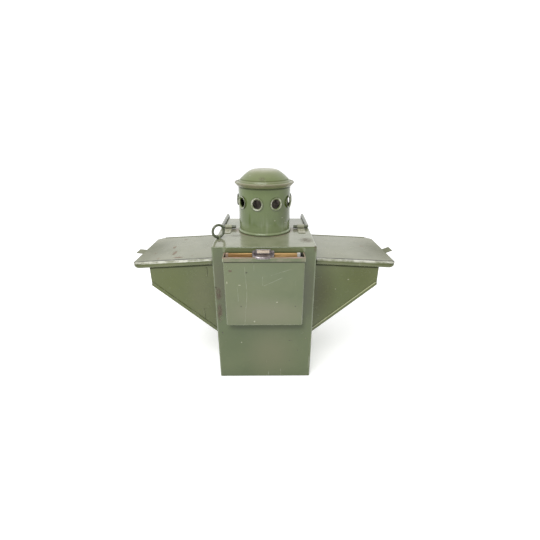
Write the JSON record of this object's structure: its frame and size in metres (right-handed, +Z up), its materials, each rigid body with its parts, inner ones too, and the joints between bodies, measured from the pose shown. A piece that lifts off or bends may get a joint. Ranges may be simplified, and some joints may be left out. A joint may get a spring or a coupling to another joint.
{
  "type": "kerosene heater",
  "caption": "Green enamelled sheet-metal kerosene heater with a vented chimney drum, carrying bail, front pocket with a sliding board, and two side wings under hinged lids.",
  "frame": {"origin": "centre of the casing's footprint on the floor", "axes": "+Z up, +X to the right seen from the front along the wings, +Y to the back"},
  "size_m": [0.5649, 0.2865, 0.4368],
  "materials": {
    "paint": "glossy green enamel, worn",
    "dull_paint": "thin green enamel, dusty",
    "handle_paint": "worn enamel over steel",
    "bare_steel": "dull tinned steel",
    "pull_steel": "tarnished plated steel",
    "tank_tin": "tinplate",
    "brass": "tarnished",
    "board_wood": "bare",
    "card": "aged card",
    "chimney_glass": "clear",
    "wick_cotton": "woven",
    "gasket_rubber": "matt"
  },
  "bodies": {
    "casing": {"casing_shell": "paint", "left_wing_box": "paint", "right_wing_box": "paint", "left_wing_bottom": "paint", "right_wing_bottom": "paint", "front_pocket": "paint", "flue_drum": "paint", "flue_cap": "paint", "base_pan": "dull_paint", "left_wing_guard": "dull_paint", "left_hinge_leaf": "dull_paint", "right_hinge_leaf": "dull_paint", "door_hinge_leaf": "dull_paint", "handle_clip_left": "dull_paint", "handle_clip_right": "dull_paint", "clip_rivets": "dull_paint", "ring_eye": "dull_paint", "left_hinge_pin": "bare_steel", "right_hinge_pin": "bare_steel", "door_hinge_pin": "bare_steel", "tank_guide_left": "bare_steel", "tank_guide_right": "bare_steel", "inner_flue": "bare_steel", "fuel_tank": "tank_tin", "burner_collar": "brass", "wick_tube": "brass", "burner_gallery": "brass", "draft_cone": "brass", "lamp_chimney": "chimney_glass"},
    "left_lid": {"left_lid": "paint"},
    "right_lid": {"right_lid": "paint"},
    "slide": {"slide_board": "board_wood", "slide_end_cap_left": "bare_steel", "slide_end_cap_right": "bare_steel", "card_frame": "pull_steel", "name_card": "card", "frame_screws": "pull_steel", "cup_pull": "pull_steel"},
    "handle": {"bail_handle": "handle_paint"},
    "ring": {"lifting_ring": "handle_paint"},
    "door": {"rear_door": "paint", "door_knob": "tank_tin", "door_catch": "bare_steel"},
    "wick": {"wick": "wick_cotton"},
    "wick_spindle": {"wick_spindle": "brass", "wick_knob": "brass"},
    "filler": {"filler_cap": "tank_tin", "filler_gasket": "gasket_rubber"}
  },
  "joints": [
    {"name": "left_lid_hinge", "type": "hinge", "parent": "casing", "child": "left_lid", "pos_m": [-0.1054, 0, 0.2645], "axis": [0, 1, 0], "range_deg": [0, 80]},
    {"name": "right_lid_hinge", "type": "hinge", "parent": "casing", "child": "right_lid", "pos_m": [0.1054, 0, 0.2645], "axis": [0, -1, 0], "range_deg": [0, 80]},
    {"name": "board_slide", "type": "slide", "parent": "casing", "child": "slide", "axis": [0, 0, 1], "range_m": [0, 0.14]},
    {"name": "handle_pivot", "type": "hinge", "parent": "casing", "child": "handle", "pos_m": [0, 0.016, 0.31076], "axis": [1, 0, 0], "range_deg": [0, 120]},
    {"name": "ring_pivot", "type": "hinge", "parent": "casing", "child": "ring", "pos_m": [-0.093, -0.059, 0.3089], "axis": [0.7986, 0.6018, 0], "range_deg": [-80, 80]},
    {"name": "door_hinge", "type": "hinge", "parent": "casing", "child": "door", "pos_m": [-0.09, 0.1174, 0], "axis": [0, 0, 1], "range_deg": [0, 110]},
    {"name": "wick_spin", "type": "hinge", "parent": "casing", "child": "wick_spindle", "pos_m": [0.00685, 0.0107, 0.0732], "axis": [0, 1, 0], "range_deg": [0, 92]},
    {"name": "wick_slide", "type": "slide", "parent": "casing", "child": "wick", "axis": [0, 0, 1], "range_m": [0, 0.0082]},
    {"name": "filler_lift", "type": "slide", "parent": "casing", "child": "filler", "axis": [0, 0, 1], "range_m": [0, 0.025]}
  ],
  "couplings": [
    {"joint": "wick_slide", "follows": "wick_spin", "m_per_rad": 0.005}
  ]
}
